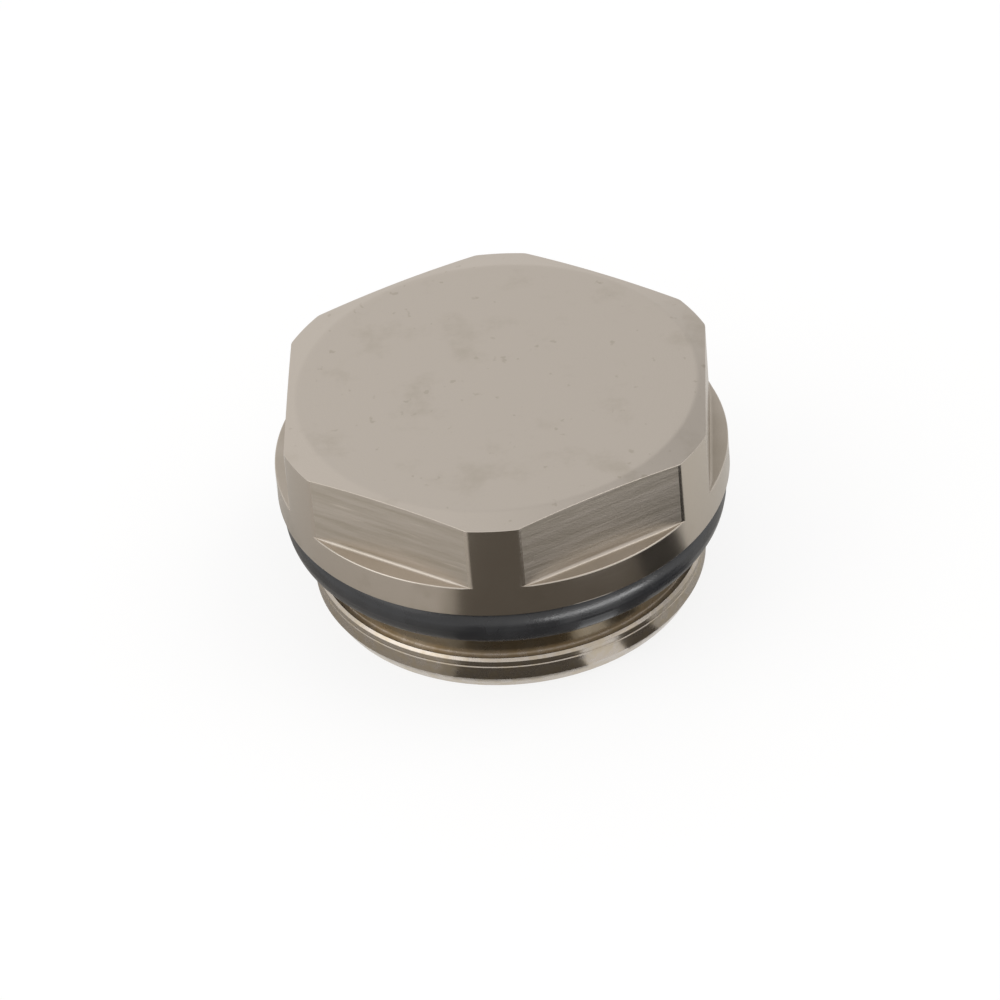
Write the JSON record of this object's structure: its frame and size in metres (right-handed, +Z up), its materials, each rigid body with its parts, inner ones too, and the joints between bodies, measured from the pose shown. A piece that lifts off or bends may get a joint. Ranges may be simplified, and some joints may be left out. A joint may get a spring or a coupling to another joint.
{
  "type": "blanking plug",
  "caption": "Hexagon-headed metal blanking plug with a round collar, a rubber O-ring under the collar and a short hollow spigot, for closing an open port in a heating fitting.",
  "frame": {"origin": "centre of the spigot's flat end face, on which the plug stands", "axes": "+Z up the plug's axis from the spigot's end to the head; +X square to one flat of the hexagon, so a corner of the hexagon points along -Y"},
  "size_m": [0.024, 0.024, 0.0121],
  "materials": {
    "nickel_plate": "nickel plated brass, satin, with turning and milling marks",
    "black_rubber": "smooth moulded rubber"
  },
  "bodies": {
    "root": {"plug_body": "nickel_plate", "o_ring": "black_rubber"}
  },
  "joints": []
}
